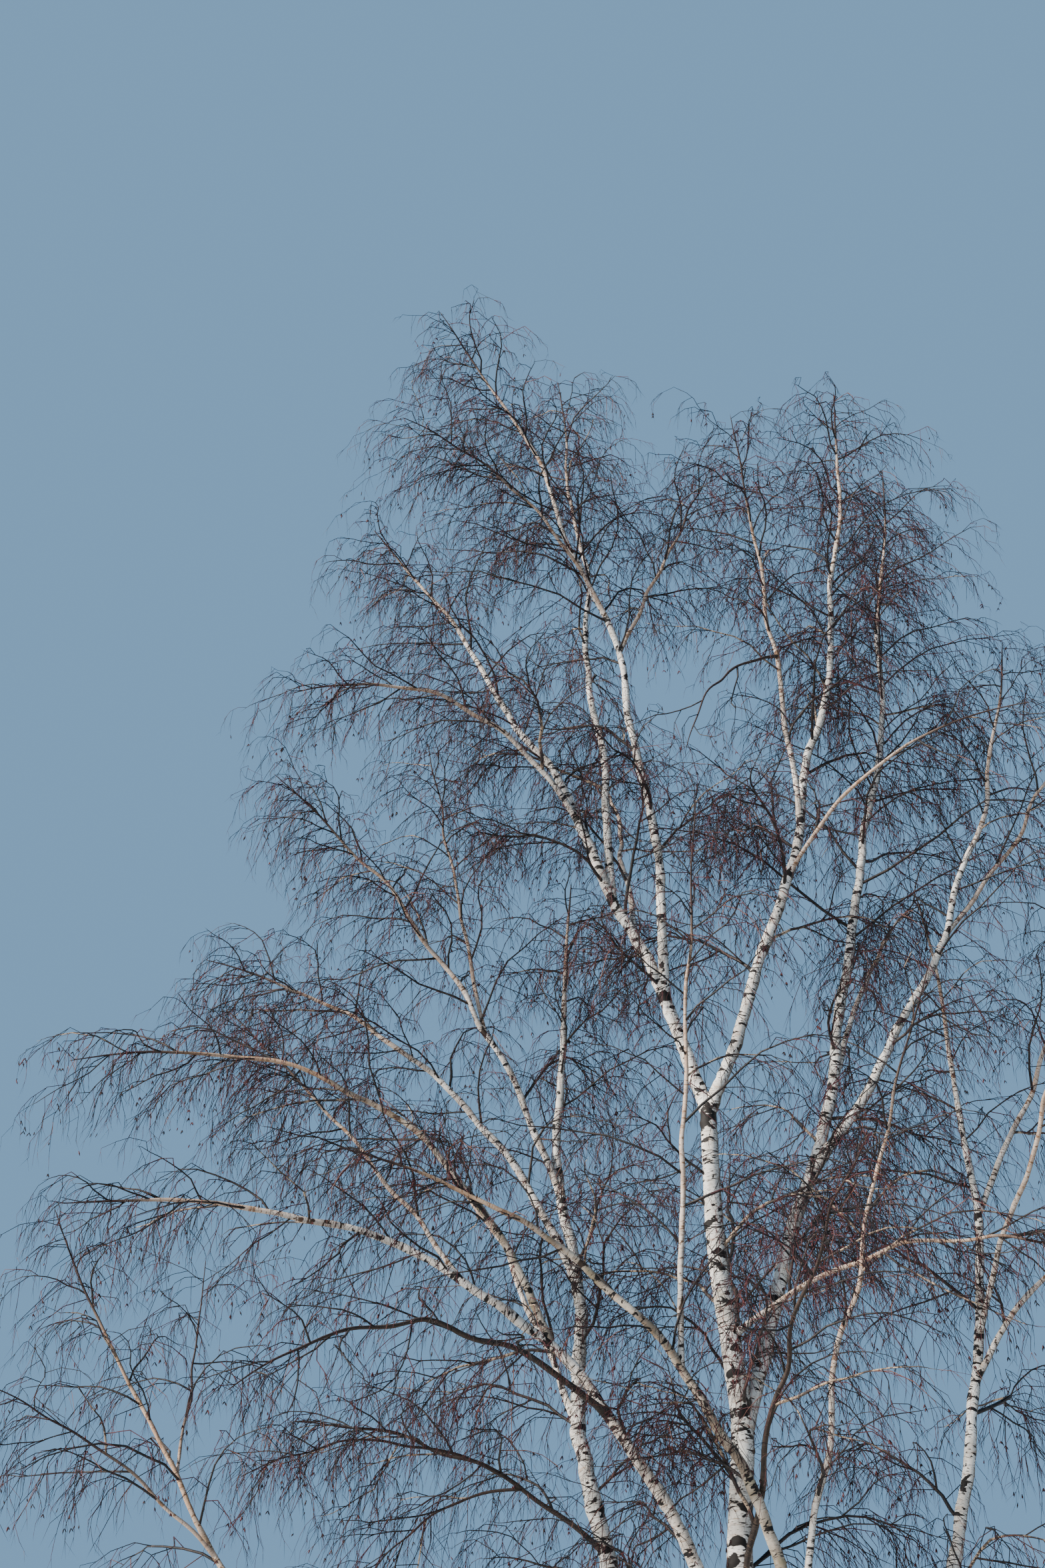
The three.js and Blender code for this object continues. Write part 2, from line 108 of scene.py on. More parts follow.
# Side limbs that leave their parent above its bare length, so each grows inside its parent's twigs
FORKS = {
    "upright_fan": ("upright_leader", 0.5, (-3.6, -1.5, 18.8), -0.5, 0.027),
    "upright_right": ("upright_leader", 0.45, (0.4, 0.3, 19.5), 0.0, 0.027),
    "right_far": ("right_outer", 0.45, (5.0, 0.3, 16.7), 0.25, 0.03),
    "left_stem_upright": ("left_stem_high", 0.34, (-3.3, 1.2, 15.8), 0.0, 0.027),
    "sweeping_middle": ("sweeping_bough", 0.54, (-5.4, -0.2, 11.5), -0.1, 0.03),
    "outer_left_low": ("outer_left_stem", 0.65, (-7.2, -1.6, 7.0), -0.15, 0.021),
    "outer_left_up": ("outer_left_stem", 0.73, (-5.5, 0.5, 8.9), 0.15, 0.017),
    "inner_bough": ("crossing_bough", 0.39, (-0.25, -2.1, 13.1), -0.1, 0.034),
    "weeping_low": ("weeping_bough", 0.3, (-3.7, 0.9, 5.6), -0.25, 0.018),
    "weeping_front": ("weeping_bough", 0.36, (-4.8, -1.2, 6.2), -0.35, 0.018),
    "middle_left_low": ("middle_left", 0.4, (-0.3, -1.7, 13.9), -0.3, 0.019),
}
STEMS = ("front_stem", "left_stem", "right_stem")
LEADERS = (
    "left_leader", "middle_leader", "right_leader", "upright_leader", "straight_leader", "right_outer",
)
MOSSY = ("sweeping_upper", "crossing_bough", "outer_left_stem")
DARK = (
    "sweeping_front", "weeping_bough", "weeping_low", "weeping_front", "middle_left_low", "back_low",
    "front_low",
)
FORKED_TIP_RADIUS = 0.064  # of a stem that ends in a fork
FORK_BARE = 0.1
TIP_RADIUS = 0.004
TAPER_POWER = 0.75
SWAY_SHARE = 0.006
LEAST_SWAYS = 2.5  # to and fro along a limb
MORE_SWAYS = 2  # at most, by chance
LINE_POINTS = 201

# Bark meshes
TRUNK_SIDES = 48
TRUNK_STEP = 0.03
TRUNK_SEED = 7
LIMB_MESHES = ((0.08, 18, 0.05), (0.04, 14, 0.05), (0, 9, 0.08))  # sides and step for a foot above a radius
CROOK = 0.012  # the size of the largest of the small bends in every limb
CROOK_SIZES = 3
CROOK_BENDS = 0.7  # per metre, of the largest
CROOK_MORE_BENDS = 0.5  # per metre, for each size smaller
COLLAR = 0.45  # how much thicker a limb is where it leaves its parent, as a share of its radius
COLLAR_REACH = 2.0  # in radii of the limb
MOST_OF_PARENT = 0.95  # the thickest collar, as a share of its parent's radius there
SCAR_SIZE = 1.6  # of the black patch under a joint, in radii of the limb that leaves there
LEAST_SCAR = 0.035
SCAR_FLATNESS = 0.75  # how much wider than high a scar is
SCAR_OUT = 1.3  # how far along its limb a scar lies, in radii of the parent
SCAR_DROP = 0.8  # how far under that limb, in radii of the limb
KNOT_SPACING = 0.3  # between the dark knots of lost twigs, along a limb
KNOT_SIZES = (0.35, 0.95)  # in radii of the limb
KNOT_FLATNESS = 2.2  # how much wider than high a knot's patch is
KNOT_SWELLING = 0.16
TRUNK_LUMPS = 0.025  # of the radius
TRUNK_RIDGES = 0.0012
FISSURES = 0.026
BOUGH_LUMPS = 0.08  # of the radius
BOUGH_RIDGES = 0.045  # of the radius
OLD_BARK_HEIGHT = 1.7  # bark below this has the dark plates of age
PATTERN_SHIFT = 40  # between the places in the bark's pattern at which two seeds start
PAINTED_SHADE_SIDE = (0.86, 0.2, -0.46)  # the way that the bark's side of painted shade faces: away from the sun, and down

# Shoots. They leave their parent by splay and turn over until they lean by end_lean from upright, the sooner
# the smaller bend is. first and last are shares of the parent's length, spacing is the length between two
# shoots, and a crowding under 1 sets them closer towards the tip. A shoot's length is least_length and
# length_share of what is left of its parent. The radius of its foot is least_radius and thickness times its
# length. steps is its number of straight pieces, wander its slow swing, and kink the spread of its bends.
GOLDEN_ANGLE = math.radians(137.5)
BRANCHES = dict(
    crowding=0.68, spacing=0.31, first=0.04, last=0.92, steps=8, splay=0.8, splay_spread=0.5,
    length_share=0.28, least_length=0.9, end_lean=1.95, end_spread=0.9, bend=1.5, wander=0.35, kink=0.28,
    least_radius=0.0065, thickness=0.0042,
)
SIDE_BOUGHS = dict(
    BRANCHES, crowding=1.0, spacing=1.1, last=0.97, steps=12, length_share=0.08, least_length=1.9,
    end_lean=2.0, wander=0.4, kink=0.35, least_radius=0.011, thickness=0.005,
)
TWIGS = dict(
    crowding=1.0, spacing=0.17, first=0.1, last=0.98, steps=4, splay=0.8, splay_spread=0.6,
    length_share=0.35, least_length=0.55, end_lean=2.88, end_spread=0.6, bend=0.7, wander=0.5, kink=0.36,
    least_radius=0.005, thickness=0.001,
)
FINE_TWIGS = dict(
    crowding=1.0, spacing=0.23, first=0.08, last=0.97, steps=2, splay=0.75, splay_spread=0.7,
    length_share=0.3, least_length=0.27, end_lean=2.95, end_spread=0.6, bend=0.5, wander=0.6, kink=0.55,
    least_radius=0.0034, thickness=0.001,
)
SPRIGS = dict(
    FINE_TWIGS, spacing=0.25, first=0.2, last=0.95, steps=1, splay=0.8, splay_spread=0.8,
    length_share=0.2, least_length=0.16, least_radius=0.0031,
)
PLACE_MARGIN = 0.2  # of a shoot's own stretch of its parent, left free at either end
PLACE_SPREAD = 0.6
TURN_SPREAD = 0.5  # about the golden angle's turns
LEAST_OF_LENGTH = 0.7  # the share of its rule's length that a shoot has at least
MORE_OF_LENGTH = 0.5  # what chance adds to that share, at most
LEAST_SINE = 0.3  # a kink's turn is divided by the sine of the lean, or by this if it is less
STRETCH_POINTS = 25  # along each stretch of limb that shoots grow on
BRANCH_SIDES = 4
TWIG_SIDES = 3
SHOOT_TIP_RADIUS = 0.0024
FOOT_OF_PARENT = 0.8  # the thickest foot of a shoot, as a share of its parent's radius there
TIP_OF_FOOT = 0.8  # the thickest tip, as a share of the shoot's foot
WANDER_WAVES = 1.2  # from side to side along a shoot
GROWS_FROM = 0.9  # branches start at this share of a limb's bare length
SIDE_BOUGHS_FROM = 0.12  # the share of a limb's length at which its side boughs start
TRUNK_SIDE_BOUGHS = (0.45, 0.97)
LOWEST_SIDE_BOUGH = 4.2
TIP_TWIGS = 0.4  # the last share of a limb past its bare length, where twigs grow on the limb itself
REACH_OVER_SOLIDS = 0.012  # how far past the solids' box a shoot may grow, as a share of each side
CLEARANCE = 0.005  # between a shoot past its foot and every limb
LIMB_SAMPLE_STEP = 0.08
POINTS_AT_ONCE = 2000
CROWN_SEED = 1
BARE_SEED = 201
TIP_SEED = 301
KNOT_SEED = 500

# Catkins hang at the ends of fine twigs, singly or in twos and threes
CATKIN_SHARE = 0.09
CATKIN_LENGTH = 0.05
CATKIN_RADIUS = 0.0075
LEAST_CATKIN = 0.7  # the share of that length and radius that a catkin has at least
MORE_CATKIN_LENGTH = 0.6
MORE_CATKIN_RADIUS = 0.5
CATKIN_PROFILE = [0.45, 1.0, 0.0]
CATKIN_SIDES = 3
CATKINS_FROM = 0.8  # the share of a twig's last step at which they hang
MORE_CATKINS = 2.4  # beside the first, by chance and rounded down
LEAST_CATKIN_SPLAY = 0.15  # from straight down
MORE_CATKIN_SPLAY = 0.5

# How dense some limbs' twigs are, beside the rest
DENSITIES = {
    "trunk": 1.2, "front_low": 1.35, "front_right": 0.6, "reaching_bough": 1.2, "slender_bough": 1.3,
    "back_low": 1.1, "back_left": 0.8, "back_right": 0.4, "back_high": 0.45,
    "left_leader": 1.75, "left_leader_low": 1.5, "straight_leader": 1.4,
    "upright_leader": 1.6, "upright_fan": 1.8, "upright_right": 1.7,
    "middle_leader": 1.85, "middle_left": 1.8, "middle_left_low": 0.45, "middle_right": 0.6,
    "right_leader": 1.8, "right_outer": 1.1, "right_stem_low": 1.2, "right_stem_outer": 1.1,
    "left_stem": 1.2, "left_stem_low": 1.8, "left_stem_high": 1.8, "left_stem_upright": 1.4,
    "sweeping_bough": 1.2, "sweeping_upper": 1.3, "sweeping_middle": 1.7, "inner_bough": 1.35,
    "weeping_bough": 1.3, "weeping_low": 1.3, "weeping_front": 1.3,
}

# Which side of the crown a limb's twigs are joined with
CROWN_SIDES = {
    "left": ("outer_left_stem", "sweeping_bough", "sweeping_upper", "sweeping_front", "crossing_bough",
             "left_stem_low", "left_stem_high", "back_left", "weeping_bough"),
    "top": ("left_leader", "left_leader_low", "upright_leader", "straight_leader", "back_high",
            "middle_leader", "middle_left"),
    "right": ("right_leader", "right_outer", "back_right", "right_stem", "right_stem_outer",
              "right_stem_low", "front_right", "middle_right"),
    "inner": ("left_stem", "reaching_bough", "back_low", "front_low", "slender_bough"),
}

# Camera, as the photograph was taken: from eye height, tilted up
CAMERA_PLACE = (-2.1, -22.3, 1.6)
CAMERA_TILT = 30
CAMERA_LENS = 50
CAMERA_SENSOR = 36
CAMERA_REACH = 400

# Colours of the bark's marks
PEELING = (0.42, 0.27, 0.17)
SPECKS = (0.12, 0.1, 0.085)
MOSS = (0.2, 0.18, 0.075)
DASHES = (0.075, 0.06, 0.05)
FRINGE = (0.2, 0.13, 0.085)
BLACK = (0.012, 0.01, 0.009)
# Painted shade, laid on the bark's side that faces away from the sun and down
PAINTED_SHADE = (0.085, 0.062, 0.045)
CRACKS = (0.01, 0.008, 0.007)
DARK_PLATES = (0.035, 0.028, 0.023)
PALE_PLATES = (0.12, 0.1, 0.082)
THIN_END = (0.46, 0.26, 0.15)
THINNEST_END = (0.04, 0.024, 0.021)

# Light and floor
SKY_COLOUR = (0.2, 0.38, 0.6)
SUN_DIRECTION = (0.82, 0.38, -0.43)
SUN_COLOUR = (1.0, 0.93, 0.84)
SUN_ENERGY = 12.0
SUN_WIDTH = 12  # in degrees: a wide sun is a soft light
FLOOR_RADIUS = 90
FLOOR_SIDES = 96
FLOOR_HEIGHT = -0.001


# Seeded chance, as in the solids: each shoot draws from its own seed, so one more shoot changes no other
def mixed(number):
    n = np.asarray(number).astype(np.uint32)
    with np.errstate(over="ignore"):
        n = (n ^ np.uint32(61)) ^ (n >> np.uint32(16))
        n = n + (n << np.uint32(3))
        n = n ^ (n >> np.uint32(4))
        n = n * np.uint32(0x27D4EB2D)
        return n ^ (n >> np.uint32(15))


def child_seed(seed, index):
    return mixed(np.asarray(seed).astype(np.uint32) ^ mixed(np.asarray(index) + 1))


def draw(seed, which):
    return child_seed(seed, 1000 + which).astype(float) / 2**32


def unit(vectors):
    return vectors / np.maximum(np.linalg.norm(vectors, axis=-1, keepdims=True), 1e-9)


def along(line, shares):
    """Points at the given shares of the way along a line of close points."""
    run = np.concatenate([[0], np.cumsum(np.linalg.norm(np.diff(line, axis=0), axis=1))])
    return np.stack([np.interp(np.asarray(shares) * run[-1], run, line[:, k]) for k in range(3)], axis=-1)


def length_of(line):
    return np.linalg.norm(np.diff(line, axis=0), axis=1).sum()


def trunk_line():
    """The Catmull-Rom curve through the trunk's points."""
    points = np.array(TRUNK_LINE, float)
    points = np.vstack([2 * points[0] - points[1], points, 2 * points[-1] - points[-2]])
    t = np.linspace(0, 1, TRUNK_CURVE_STEPS, endpoint=False)[:, None]
    made = []
    for before, low, high, after in zip(points[:-3], points[1:-2], points[2:-1], points[3:]):
        slope = (high - before) / 2
        next_slope = (after - low) / 2
        cube = 2 * (low - high) + slope + next_slope
        square = 3 * (high - low) - 2 * slope - next_slope
        made.append(cube * t**3 + square * t**2 + slope * t + low)
    return np.vstack([*made, points[-2:-1]])


def limb_line(start, tip, bow, seed):
    """The arc of a limb, with a slight sway to and fro across it and smaller bends in that."""
    chord = np.array(tip) - start
    ahead = unit(chord)
    outward = unit(chord * (1, 1, 0))
    under = outward * ahead[2] - np.array([0, 0, math.hypot(ahead[0], ahead[1])])
    side = np.cross(ahead, under)
    middle = start + chord / 2 + 2 * bow * under
    t = np.linspace(0, 1, LINE_POINTS)[:, None]
    line = (1 - t) ** 2 * start + 2 * t * (1 - t) * middle + t**2 * np.array(tip)
    sway = SWAY_SHARE * np.linalg.norm(chord) * np.sin(math.pi * t)
    for k, across in enumerate((side, under)):
        sways = LEAST_SWAYS + MORE_SWAYS * draw(seed, 2 * k)
        line = line + across * sway * np.sin(2 * math.pi * (sways * t + draw(seed, 2 * k + 1)))
        for smaller in range(CROOK_SIZES):
            bends = np.linalg.norm(chord) * (CROOK_BENDS + CROOK_MORE_BENDS * smaller)
            swing = np.sin(2 * math.pi * (bends * t + draw(seed, 10 + CROOK_SIZES * k + smaller)))
            line = line + across * CROOK / (1 + smaller) * np.sin(math.pi * t) * swing
    return line


limbs = {**LIMBS, **{name: (*row, FORK_BARE) for name, row in FORKS.items()}}
lines = {"trunk": trunk_line()}
for number, (name, (parent, share, tip, bow, radius, bare)) in enumerate(limbs.items(), start=1):
    lines[name] = limb_line(along(lines[parent], share), tip, bow, number)


def trunk_radius(height, angle):
    ridge = 1 + RIDGE_SHARE * np.cos(ROOT_RIDGES * angle)
    return np.interp(height, TRUNK_HEIGHTS, TRUNK_RADII) + FLARE * np.exp(-height / FLARE_HEIGHT) * ridge


def limb_radius(name, share):
    foot, bare = limbs[name][4:]
    tip = FORKED_TIP_RADIUS if bare == 1 else TIP_RADIUS
    return tip + (foot - tip) * (1 - np.asarray(share)) ** TAPER_POWER


def radius_on(name, share):
    if name == "trunk":
        return trunk_radius(along(lines["trunk"], share)[..., 2], 0)
    return limb_radius(name, share)


def dealt(counts):
    """For groups of the given counts: the group of each member, and its number there."""
    groups = np.repeat(np.arange(len(counts)), counts)
    numbers = np.arange(counts.sum()) - np.repeat(np.cumsum(counts) - counts, counts)
    return groups, numbers


def leaning(lean, turn):
    """Unit directions that lean from upright, turned round the upright."""
    return np.stack([np.sin(lean) * np.cos(turn), np.sin(lean) * np.sin(turn), np.cos(lean)], axis=1)


# Shoots, many at once: paths holds the points of each, radii the radius at each point
def outward_directions(tangents, turns, splays):
    """Unit directions that leave the tangents by the splays, turned round them."""
    side = unit(np.cross(tangents, [0.0, 0.0, 1.0]))
    other = np.cross(side, tangents)
    around = side * np.cos(turns)[:, None] + other * np.sin(turns)[:, None]
    return tangents * np.cos(splays)[:, None] + around * np.sin(splays)[:, None]


def shoot_paths(starts, directions, lengths, end_leans, rule, seeds):
    """Each shoot sets out along its direction and turns over until it leans by its end lean."""
    start_lean = np.arccos(np.clip(directions[:, 2], -1, 1))
    start_turn = np.arctan2(directions[:, 1], directions[:, 0])
    phase = 2 * math.pi * draw(seeds, 7)
    points = [starts]
    for k in range(rule["steps"]):
        share = (k + 0.5) / rule["steps"]
        lean = start_lean + (end_leans - start_lean) * share ** rule["bend"]
        turn = start_turn + rule["wander"] * np.sin(2 * math.pi * WANDER_WAVES * share + phase)
        lean = lean + rule["kink"] * (draw(seeds, 20 + k) - 0.5)
        turn = turn + rule["kink"] * (draw(seeds, 40 + k) - 0.5) / np.maximum(np.sin(lean), LEAST_SINE)
        points.append(points[-1] + leaning(lean, turn) * (lengths / rule["steps"])[:, None])
    return np.stack(points, axis=1)


def side_shoots(parents, rule):
    """Shoots along each parent, set round it by the golden angle."""
    paths, radii, seeds = parents["paths"], parents["radii"], parents["seeds"]
    pieces = np.linalg.norm(np.diff(paths, axis=1), axis=2)
    run = np.concatenate([np.zeros((len(paths), 1)), np.cumsum(pieces, axis=1)], axis=1)
    whole = run[:, -1]
    span = rule["last"] - rule["first"]
    counts = np.maximum(1, np.round(span * whole * parents["density"] / rule["spacing"])).astype(int)
    parent, order = dealt(counts)
    seed = child_seed(seeds[parent], order)
    place = (order + PLACE_MARGIN + PLACE_SPREAD * draw(seed, 0)) / counts[parent]
    share = rule["first"] + span * place ** rule["crowding"]

    where = share * whole[parent]
    k = np.clip((run[parent] <= where[:, None]).sum(axis=1) - 1, 0, paths.shape[1] - 2)
    part = (where - run[parent, k]) / pieces[parent, k]
    low, high = paths[parent, k], paths[parent, k + 1]
    start = low + (high - low) * part[:, None]
    parent_radius = radii[parent, k] + (radii[parent, k + 1] - radii[parent, k]) * part

    turn = order * GOLDEN_ANGLE + 2 * math.pi * draw(seeds[parent], 5) + TURN_SPREAD * (draw(seed, 1) - 0.5)
    splay = rule["splay"] + rule["splay_spread"] * (draw(seed, 2) - 0.5)
    direction = outward_directions(unit(high - low), turn, splay)
    most = rule["length_share"] * (1 - share) * whole[parent] + rule["least_length"]
    length = most * (LEAST_OF_LENGTH + MORE_OF_LENGTH * draw(seed, 3))
    end_lean = rule["end_lean"] + rule["end_spread"] * (draw(seed, 4) - 0.5)
    made = shoot_paths(start, direction, length, end_lean, rule, seed)
    foot = np.minimum(rule["least_radius"] + rule["thickness"] * length, FOOT_OF_PARENT * parent_radius)
    tip = np.minimum(SHOOT_TIP_RADIUS, TIP_OF_FOOT * foot)
    taper = (1 - np.linspace(0, 1, rule["steps"] + 1)) ** TAPER_POWER
    return {
        "paths": made,
        "radii": tip[:, None] + (foot - tip)[:, None] * taper,
        "seeds": seed,
        "owner": parents["owner"][parent],
        "density": parents["density"][parent] ** 0.5,
    }


def kept(shoots, mask):
    return {key: values[mask] for key, values in shoots.items()}


def joined(*several):
    return {key: np.concatenate([shoots[key] for shoots in several]) for key in several[0]}


low_corner, high_corner = (np.array(corner) for corner in cad_box)
reach = REACH_OVER_SOLIDS * (high_corner - low_corner)
limb_samples = []
for name, line in lines.items():
    shares = np.linspace(0, 1, int(length_of(line) / LIMB_SAMPLE_STEP))
    limb_samples.append(np.column_stack([along(line, shares), radius_on(name, shares)]))
limb_samples = np.vstack(limb_samples)


def clear_of_limbs(points):
    """Which points lie outside every limb."""
    clear = np.ones(len(points), bool)
    for part in np.array_split(np.arange(len(points)), max(1, len(points) // POINTS_AT_ONCE)):
        apart = points[part, None] - limb_samples[None, :, :3]
        distance = np.sqrt(np.einsum("ijk,ijk->ij", apart, apart))
        clear[part] = (distance > limb_samples[None, :, 3] + CLEARANCE).all(axis=1)
    return clear


def fitting(shoots, past_foot):
    """The shoots that stay within reach and, past their foot, touch no limb."""
    paths = shoots["paths"]
    inside = ((paths > low_corner - reach) & (paths < high_corner + reach)).all(axis=(1, 2))
    shoots = kept(shoots, inside)
    points = shoots["paths"][:, past_foot:]
    clear = clear_of_limbs(points.reshape(-1, 3)).reshape(points.shape[:2]).all(axis=1)
    return kept(shoots, clear)


names = list(limbs)
masses = [name for name in LIMBS if LIMBS[name][5] < 1]
owner_of = {name: masses.index(name) for name in masses}
owner_of.update({name: owner_of[row[0]] for name, row in FORKS.items()})
inner_owner = owner_of["reaching_bough"]  # of what grows on the trunk and on front_stem


def limb_parents(stretches):
    """Stretches of limbs as parents of shoots: rows of name, from share, to share and seed."""
    steps = np.linspace(0, 1, STRETCH_POINTS)
    rows = [(name, first + (last - first) * steps) for name, first, last, _ in stretches]
    return {
        "paths": np.array([along(lines[name], shares) for name, shares in rows]),
        "radii": np.array([radius_on(name, shares) for name, shares in rows]),
        "seeds": np.array([seed for *_, seed in stretches], np.uint32),
        "owner": np.array([owner_of.get(name, inner_owner) for name, *_ in stretches]),
        "density": np.array([DENSITIES.get(name, 1.0) for name, *_ in stretches]),
    }


crown_parts = []
tip_parts = []
for name in owner_of:
    bare = limbs[name][5]
    crown_parts.append((name, GROWS_FROM * bare, 1.0, CROWN_SEED + names.index(name)))
    tip_parts.append((name, (1 - TIP_TWIGS) + TIP_TWIGS * bare, 1.0, TIP_SEED + names.index(name)))
bare_parts = [("trunk", *TRUNK_SIDE_BOUGHS, BARE_SEED)]
for number, name in enumerate(LIMBS, start=1):
    bare_parts.append((name, SIDE_BOUGHS_FROM, GROWS_FROM * limbs[name][5], BARE_SEED + number))

crown_stems = limb_parents(crown_parts)
bare_stems = limb_parents(bare_parts)
stem_tips = limb_parents(tip_parts)
side_boughs = side_shoots(bare_stems, SIDE_BOUGHS)
side_boughs = fitting(kept(side_boughs, side_boughs["paths"][:, 0, 2] > LOWEST_SIDE_BOUGH), 2)
branches = fitting(joined(side_shoots(crown_stems, BRANCHES), side_shoots(side_boughs, BRANCHES)), 2)
twig_parents = (branches, stem_tips, side_boughs)
twigs = fitting(joined(*(side_shoots(parents, TWIGS) for parents in twig_parents)), 2)
fine_twigs = fitting(side_shoots(twigs, FINE_TWIGS), 1)
sprigs = fitting(joined(side_shoots(twigs, SPRIGS), side_shoots(fine_twigs, SPRIGS)), 1)


def catkins_on(shoots):
    """Catkins at the tips of some shoots, one to three on each, splayed about straight down."""
    seeds = shoots["seeds"]
    bearing = draw(seeds, 60) < CATKIN_SHARE
    last_steps = shoots["paths"][bearing, -2:]
    tips = last_steps[:, 0] + CATKINS_FROM * (last_steps[:, 1] - last_steps[:, 0])
    seeds, owners = seeds[bearing], shoots["owner"][bearing]
    counts = 1 + (draw(seeds, 61) * MORE_CATKINS).astype(int)
    tip, order = dealt(counts)
    seed = child_seed(seeds[tip], 70 + order)
    lean = math.pi - LEAST_CATKIN_SPLAY - MORE_CATKIN_SPLAY * draw(seed, 1)
    turn = 2 * math.pi * (draw(seeds[tip], 2) + order / np.maximum(counts[tip], 2))
    length = CATKIN_LENGTH * (LEAST_CATKIN + MORE_CATKIN_LENGTH * draw(seed, 3))
    steps = np.linspace(0, 1, len(CATKIN_PROFILE))
    paths = tips[tip][:, None] + leaning(lean, turn)[:, None] * (length[:, None] * steps)[..., None]
    radii = CATKIN_RADIUS * (LEAST_CATKIN + MORE_CATKIN_RADIUS * draw(seed, 4))
    radii = radii[:, None] * np.array(CATKIN_PROFILE)
    return {"paths": paths, "radii": radii, "seeds": seed, "owner": owners[tip]}


catkins = joined(catkins_on(fine_twigs), catkins_on(sprigs))


# Meshes
def mesh_piece(name, points, quads, triangles, materials, finish_of_quad=None, finish_of_triangle=None):
    """An object of the given points, with quads and triangles as rows of point numbers."""
    mesh = bpy.data.meshes.new(name)
    mesh.vertices.add(len(points))
    mesh.vertices.foreach_set("co", np.ascontiguousarray(points, np.float32).ravel())
    corners = np.concatenate([quads.ravel(), triangles.ravel()]).astype(np.int32)
    starts = np.concatenate([4 * np.arange(len(quads)), 4 * len(quads) + 3 * np.arange(len(triangles))])
    mesh.loops.add(len(corners))
    mesh.loops.foreach_set("vertex_index", corners)
    mesh.polygons.add(len(starts))
    mesh.polygons.foreach_set("loop_start", starts.astype(np.int32))
    mesh.polygons.foreach_set("use_smooth", np.ones(len(starts), bool))
    for material in materials:
        mesh.materials.append(material)
    if finish_of_quad is not None:
        finish = np.concatenate([finish_of_quad, finish_of_triangle]).astype(np.int32)
        mesh.polygons.foreach_set("material_index", finish)
    mesh.update(calc_edges=True)
    mesh.validate()
    piece = bpy.data.objects.new(name, mesh)
    bpy.context.scene.collection.objects.link(piece)
    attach(piece, "root")
    return piece


def ring_faces(rings, sides):
    """The quads of one tube of that many rings, the triangles to its tip, and those across its foot."""
    ring = np.arange(rings - 1)[:, None] * sides
    near = np.arange(sides)
    ahead = (near + 1) % sides
    quads = np.stack([ring + near, ring + ahead, ring + sides + ahead, ring + sides + near], axis=-1)
    last = (rings - 1) * sides
    fan = np.stack([last + near, last + ahead, np.full(sides, rings * sides)], axis=-1)
    inner = np.arange(1, sides - 1)
    foot = np.stack([np.zeros_like(inner), inner + 1, inner], axis=-1)
    return quads.reshape(-1, 4), np.vstack([fan, foot])


def shoot_piece(name, shoots, sides, materials, finish):
    """Many closed tubes that each end in a point, as one piece. finish is each tube's material number."""
    paths, radii = shoots["paths"], shoots["radii"]
    count, points_each = paths.shape[:2]
    tangents = unit(np.gradient(paths, axis=1))
    fold = np.cross(tangents[:, 0], tangents[:, -1])
    straight = np.linalg.norm(fold, axis=1) < 1e-3
    fold[straight] = np.cross(tangents[straight, 0], [0.6, 0.8, 0.0])
    side = unit(fold[:, None] - tangents * np.einsum("ik,ijk->ij", fold, tangents)[..., None])
    other = np.cross(tangents, side)
    angles = 2 * math.pi * np.arange(sides) / sides
    around = side[:, :, None] * np.cos(angles)[:, None] + other[:, :, None] * np.sin(angles)[:, None]
    rings = (paths[:, :, None] + around * radii[..., None, None])[:, :-1]
    points = np.concatenate([rings.reshape(count, -1, 3), paths[:, -1:]], axis=1)
    quads, triangles = ring_faces(points_each - 1, sides)
    shift = (np.arange(count) * points.shape[1])[:, None, None]
    return mesh_piece(
        name, points.reshape(-1, 3), (quads + shift).reshape(-1, 4), (triangles + shift).reshape(-1, 3),
        materials, np.repeat(finish, len(quads)), np.repeat(finish, len(triangles)),
    )


def waves(angle, run, seed, turns, frequency, count=14):
    """Seeded waves round and along a limb, about -1 to 1, each with whole turns so that it closes."""
    total = np.zeros_like(angle + run)
    for k in range(count):
        here = child_seed(seed, k)
        whole = np.round((2 * draw(here, 0) - 1) * turns)
        pace = frequency * (0.4 + 0.6 * draw(here, 1))
        total = total + np.sin(whole * angle + 2 * math.pi * (pace * run + draw(here, 2)))
    return total / math.sqrt(count)


def depth_in(points, patches, flatness):
    """How deep each point lies in a patch, from 0 to 1. patches are rows of place and size."""
    deepest = np.zeros(len(points))
    for *place, size in patches:
        distance = np.linalg.norm((points - place) * (1, 1, flatness), axis=1)
        deepest = np.maximum(deepest, np.exp(-((distance / size) ** 2)))
    return deepest


def scars_on(parent_name):
    """Where limbs leave a limb: the patch sits on its surface, a little below the joint."""
    scars = []
    for name, row in limbs.items():
        if row[0] == parent_name:
            foot_radius = row[4]
            surface = float(radius_on(parent_name, row[1]))
            start, ahead = along(lines[name], [0, min(0.5, 3 * surface / length_of(lines[name]))])
            direction = unit(ahead - start)
            place = start + direction * surface * SCAR_OUT - np.array([0, 0, SCAR_DROP * foot_radius])
            scars.append((*place, max(LEAST_SCAR, SCAR_SIZE * foot_radius)))
    return scars


def knots_on(name):
    """Where small branches were shed: seeded places all round a limb."""
    line = lines[name]
    count = int(length_of(line) / KNOT_SPACING)
    seeds = child_seed(KNOT_SEED + list(lines).index(name), np.arange(count))
    shares = (np.arange(count) + draw(seeds, 0)) / count
    radii = radius_on(name, shares)
    turn = 2 * math.pi * draw(seeds, 1)
    around = np.stack([np.cos(turn), np.sin(turn), np.zeros(count)], axis=1)
    smallest, largest = KNOT_SIZES
    sizes = radii * (smallest + (largest - smallest) * draw(seeds, 2) ** 2)
    return np.column_stack([along(line, shares) + around * radii[:, None], sizes])


